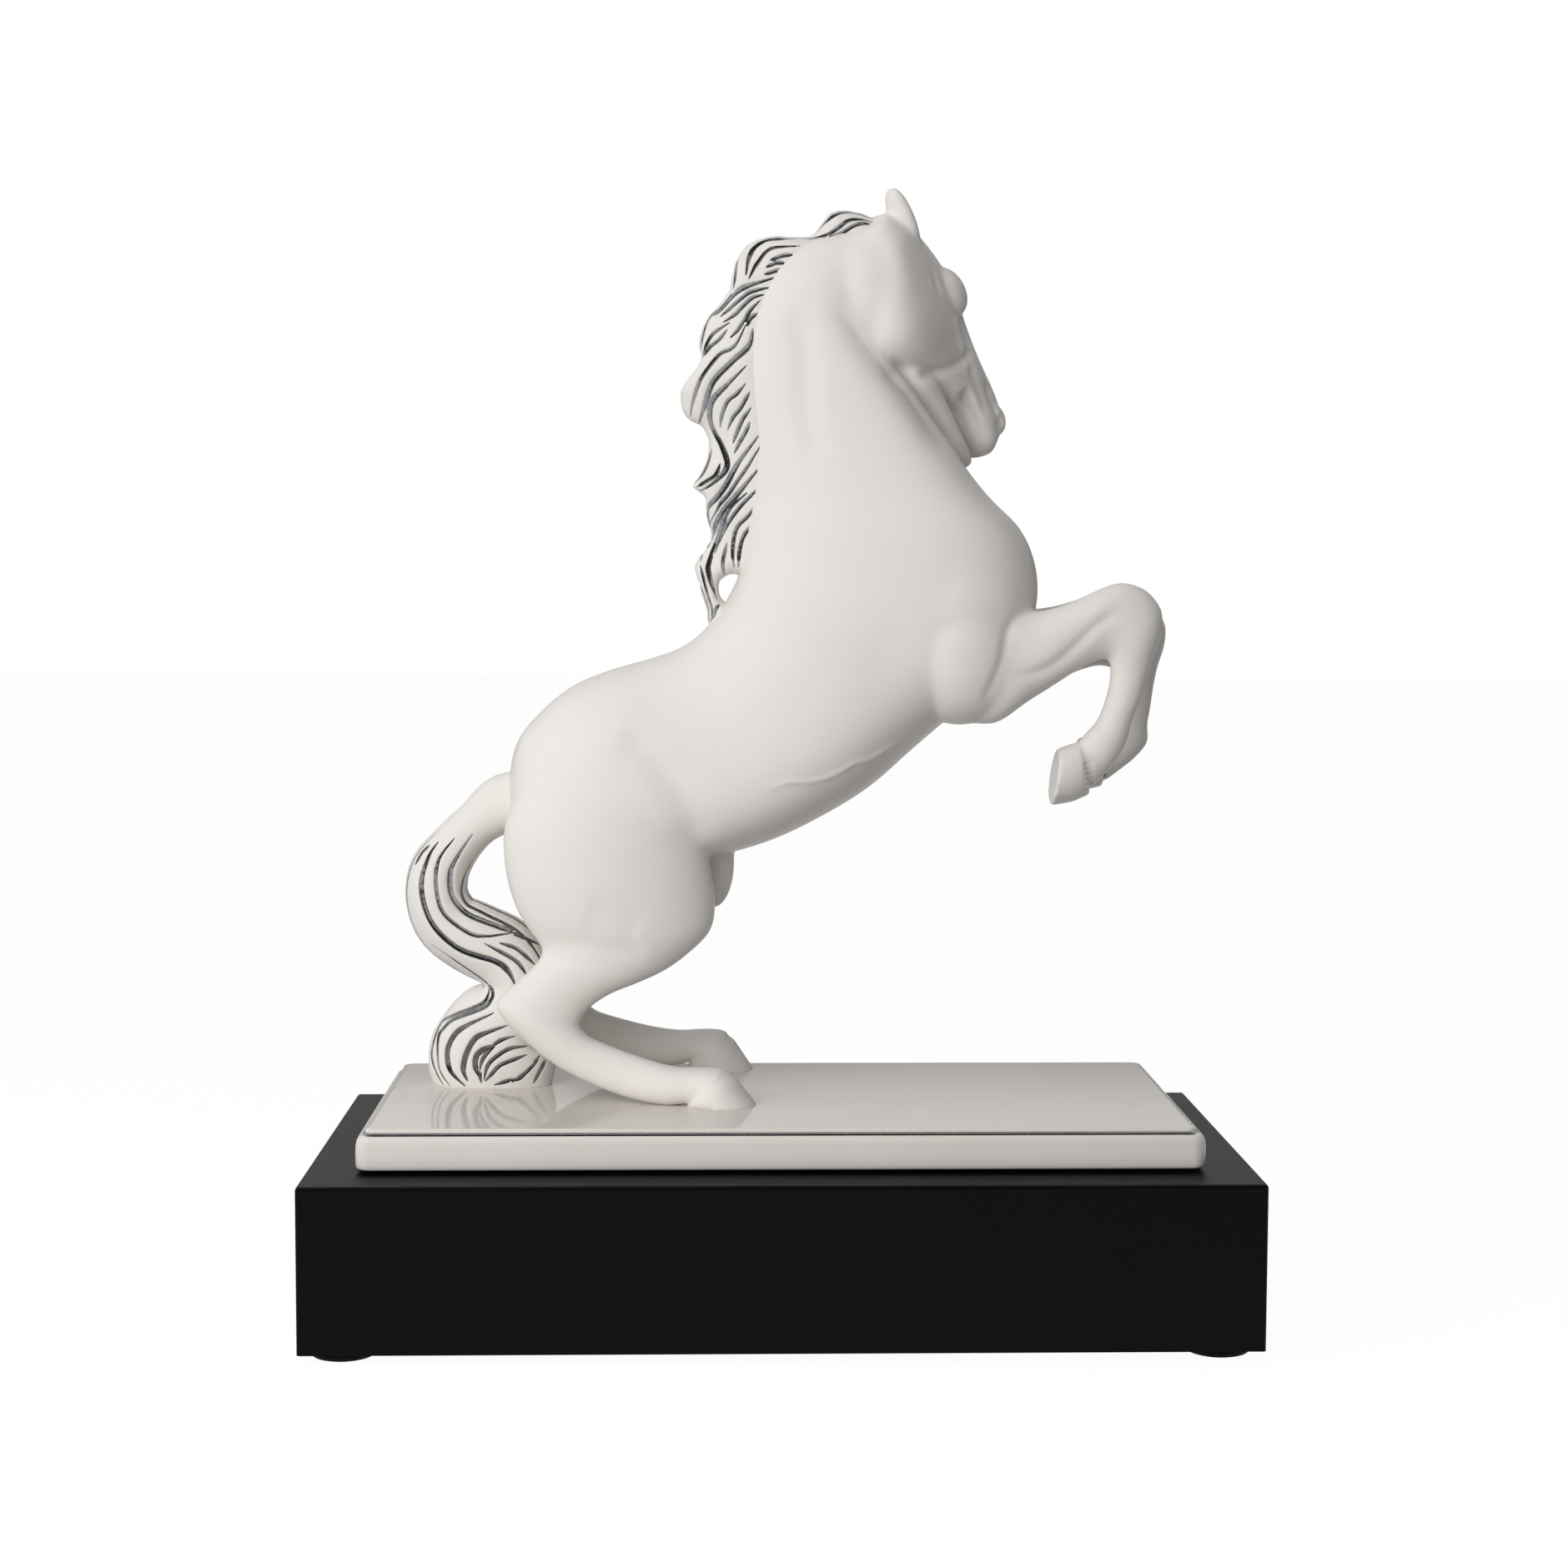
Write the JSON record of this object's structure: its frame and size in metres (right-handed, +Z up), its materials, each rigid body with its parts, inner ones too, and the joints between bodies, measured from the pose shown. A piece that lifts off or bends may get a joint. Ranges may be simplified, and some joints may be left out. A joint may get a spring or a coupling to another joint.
{
  "type": "porcelain horse figurine",
  "caption": "Rearing horse in glazed porcelain with a lustre-lined mane and tail, on a porcelain slab and a black lacquered plinth.",
  "frame": {"origin": "centre of the plinth's footprint, on the surface that the rubber feet stand on", "axes": "+X the way the horse faces, +Y the horse's left, +Z up"},
  "size_m": [0.32, 0.16, 0.3958],
  "materials": {
    "porcelain": "gloss",
    "lustred_porcelain": "gloss",
    "silicone": "satin",
    "black_lacquer": "satin",
    "pine": "matte",
    "rubber": "matte",
    "screw_steel": "satin"
  },
  "bodies": {
    "root": {"body": "porcelain", "head_and_neck": "porcelain", "foreleg_right": "porcelain", "foreleg_left": "porcelain", "hind_leg_right": "porcelain", "hind_leg_left": "porcelain", "mane": "lustred_porcelain", "tail": "lustred_porcelain", "slab": "porcelain", "bedding_pad_front_left": "silicone", "bedding_pad_front_right": "silicone", "bedding_pad_back_left": "silicone", "bedding_pad_back_right": "silicone", "plinth_top": "black_lacquer", "plinth_front": "black_lacquer", "plinth_back": "black_lacquer", "plinth_left_end": "black_lacquer", "plinth_right_end": "black_lacquer", "plinth_bottom": "black_lacquer", "corner_block_front_left": "pine", "corner_block_front_right": "pine", "corner_block_back_left": "pine", "corner_block_back_right": "pine", "foot_front_left": "rubber", "foot_front_right": "rubber", "foot_back_left": "rubber", "foot_back_right": "rubber", "foot_screw_front_left": "screw_steel", "foot_screw_front_right": "screw_steel", "foot_screw_back_left": "screw_steel", "foot_screw_back_right": "screw_steel"}
  },
  "joints": []
}
